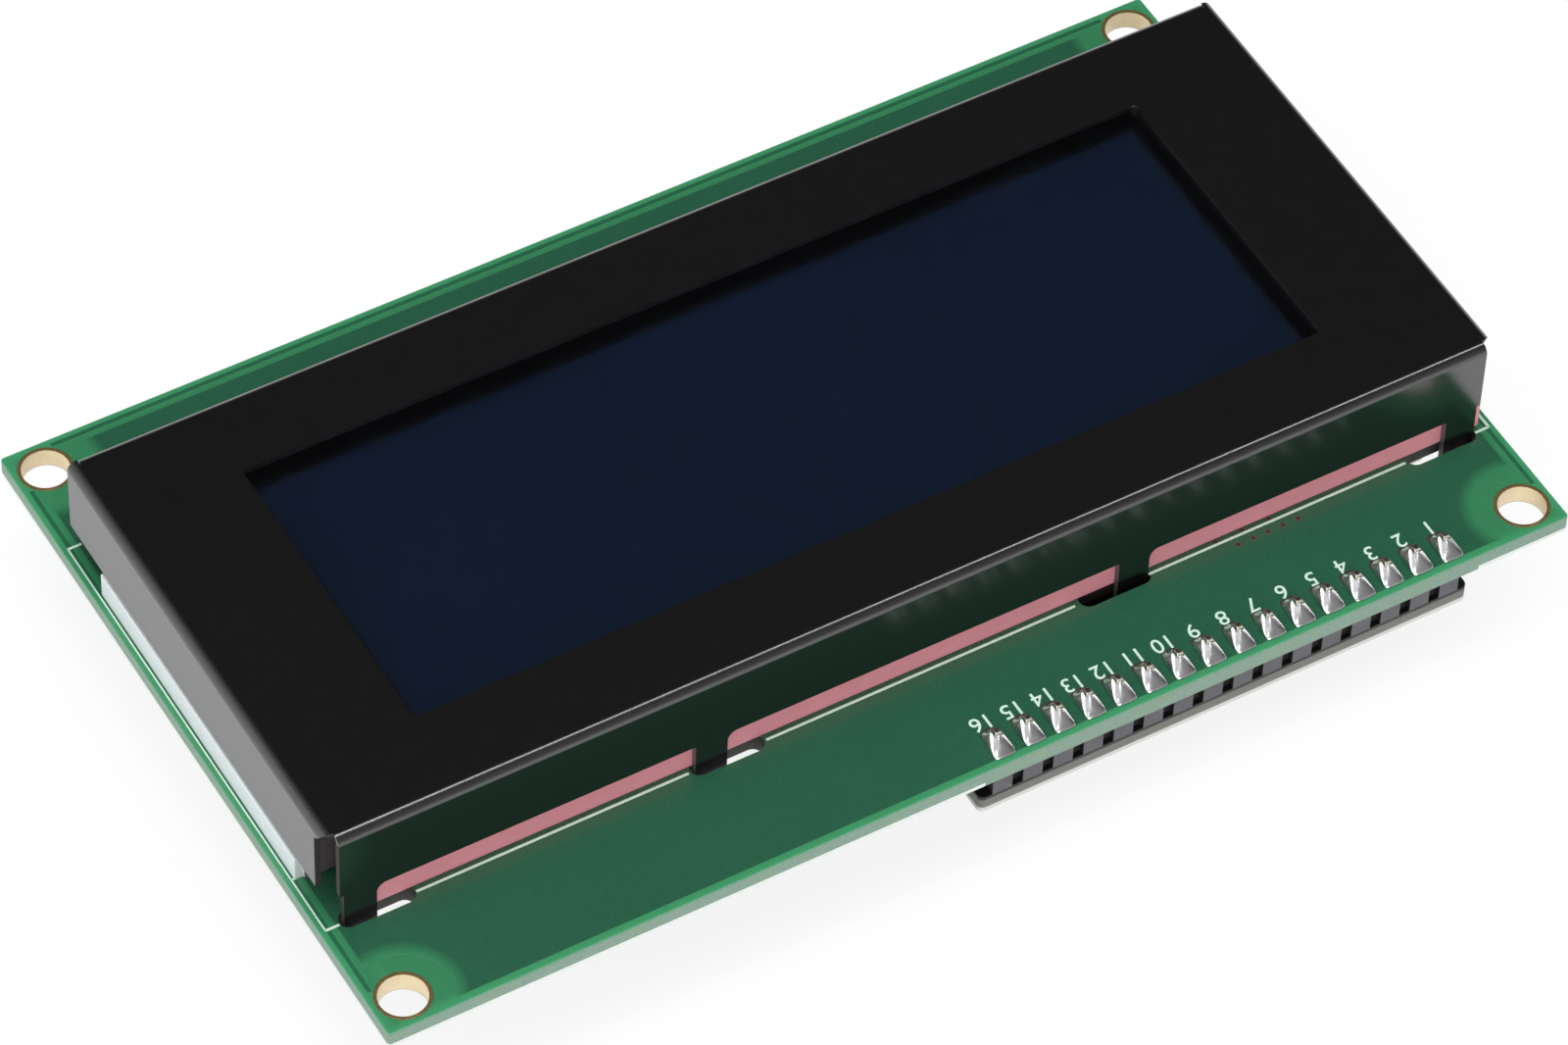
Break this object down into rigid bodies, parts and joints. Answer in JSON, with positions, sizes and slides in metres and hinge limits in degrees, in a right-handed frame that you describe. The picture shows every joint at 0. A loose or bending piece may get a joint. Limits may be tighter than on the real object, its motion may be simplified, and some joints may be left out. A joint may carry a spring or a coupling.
{
  "type": "character lcd module",
  "caption": "Character display module: green board with drilled corners, black folded bezel round a dark blue window, header row at one edge and a small serial adapter board behind it.",
  "frame": {"origin": "centre of the four mounting holes, on the display side of the main board", "axes": "+X along the board's long side, +Y away from the header edge, +Z out of the display's face"},
  "size_m": [0.098, 0.06, 0.0202],
  "materials": {
    "board_green": "glass-fibre laminate under glossy green solder mask",
    "board_black": "glass-fibre laminate under black solder mask",
    "bezel_black": "black satin coating on folded steel sheet",
    "window_film": "dark blue polarising film, glossy",
    "cell_glass": "thin clear glass",
    "white_film": "matt white film",
    "clear_acrylic": "polished clear acrylic",
    "frame_white": "smooth white moulding",
    "pink_rubber": "matt pink silicone rubber",
    "strip_laminate": "white coated laminate strip",
    "lamp_white": "white lamp bodies with yellow resin",
    "pin_metal": "tinned brass",
    "solder": "bright solder",
    "black_plastic": "black moulded nylon",
    "chip_resin": "dark grey moulded resin",
    "blob_resin": "black poured resin, satin",
    "trimmer_blue": "blue moulded case",
    "trimmer_white": "off-white moulded rotor",
    "chip_black": "black ceramic chips with tinned ends",
    "chip_tan": "tan ceramic chips with tinned ends",
    "led_clear": "small red lamp, clear resin"
  },
  "bodies": {
    "module": {"main_board": "board_green", "bezel": "bezel_black", "front_polarizer": "window_film", "front_glass": "cell_glass", "rear_glass": "cell_glass", "rear_polarizer": "window_film", "zebra_strip_front": "pink_rubber", "zebra_strip_rear": "pink_rubber", "backlight_frame": "frame_white", "reflector_sheet": "white_film", "light_guide": "clear_acrylic", "diffuser_sheet": "white_film", "backlight_led_strip": "strip_laminate", "backlight_leds": "lamp_white", "backlight_leads": "pin_metal", "header_pins": "pin_metal", "header_spacer": "black_plastic", "display_solder_joints": "solder", "adapter_solder_joints": "solder", "adapter_board": "board_black", "expander_chip": "chip_resin", "expander_leads": "pin_metal", "trimmer_body": "trimmer_blue", "trimmer_leads": "pin_metal", "host_header_block": "black_plastic", "host_header_pins": "pin_metal", "jumper_header_block": "black_plastic", "jumper_header_pins": "pin_metal", "jumper_cap": "black_plastic", "jumper_clip": "pin_metal", "adapter_resistors": "chip_black", "adapter_capacitor": "chip_tan", "power_led": "led_clear", "backlight_transistor": "chip_resin", "transistor_leads": "pin_metal", "board_resistors": "chip_black", "board_capacitors": "chip_tan", "controller_blob": "blob_resin", "segment_driver_blobs": "blob_resin"},
    "trimmer_rotor": {"trimmer_rotor": "trimmer_white"}
  },
  "joints": [
    {"name": "contrast_turn", "type": "hinge", "parent": "module", "child": "trimmer_rotor", "pos_m": [0.01275, -0.0192, -0.01], "axis": [0, 0, 1], "range_deg": [-120, 120]}
  ]
}
